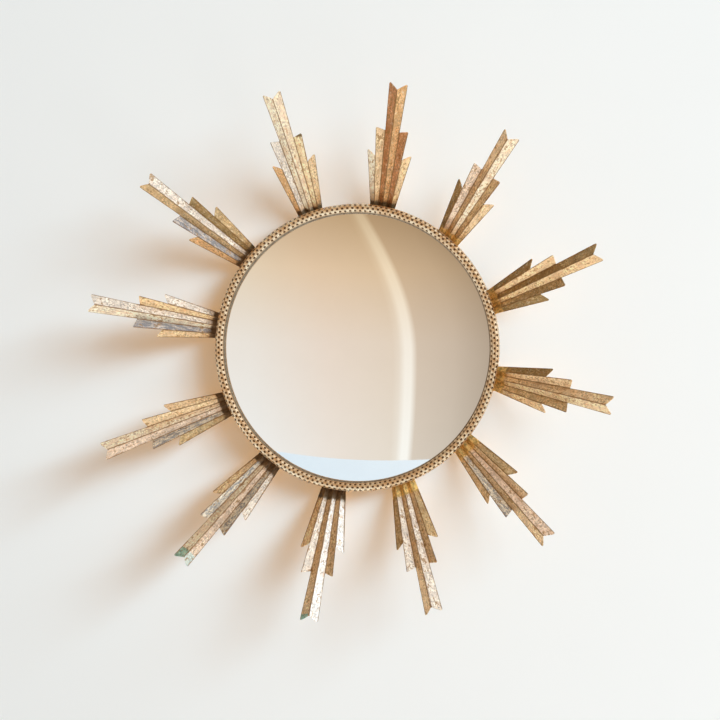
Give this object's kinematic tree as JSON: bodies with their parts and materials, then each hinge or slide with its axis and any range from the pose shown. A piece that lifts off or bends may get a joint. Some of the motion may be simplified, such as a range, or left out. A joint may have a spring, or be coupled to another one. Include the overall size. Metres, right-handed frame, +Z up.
{
  "type": "wall mirror",
  "caption": "Round convex wall mirror in a pierced gilt rim, with pleated gilt sheet-metal rays leaning forward all around like a sunburst.",
  "frame": {"origin": "centre of the flat back of the pan, on the wall", "axes": "+Y into the wall, so the mirror faces -Y; +Z up; +X to the right of a person facing the mirror"},
  "size_m": [0.5615, 0.0919, 0.5704],
  "materials": {
    "pan": "dull bronze paint on drawn sheet metal, a little worn",
    "mirror": "silvered convex glass, clear and smooth",
    "gilt_rim": "pierced gilt brass, satin, darker in the holes",
    "gilt_ray": "mottled gold leaf on sheet metal, worn to silver and brown in places"
  },
  "bodies": {
    "root": {"back_pan": "pan", "mirror_glass": "mirror", "pierced_rim": "gilt_rim", "ray_01": "gilt_ray", "ray_02": "gilt_ray", "ray_03": "gilt_ray", "ray_04": "gilt_ray", "ray_05": "gilt_ray", "ray_06": "gilt_ray", "ray_07": "gilt_ray", "ray_08": "gilt_ray", "ray_09": "gilt_ray", "ray_10": "gilt_ray", "ray_11": "gilt_ray", "ray_12": "gilt_ray"}
  },
  "joints": []
}
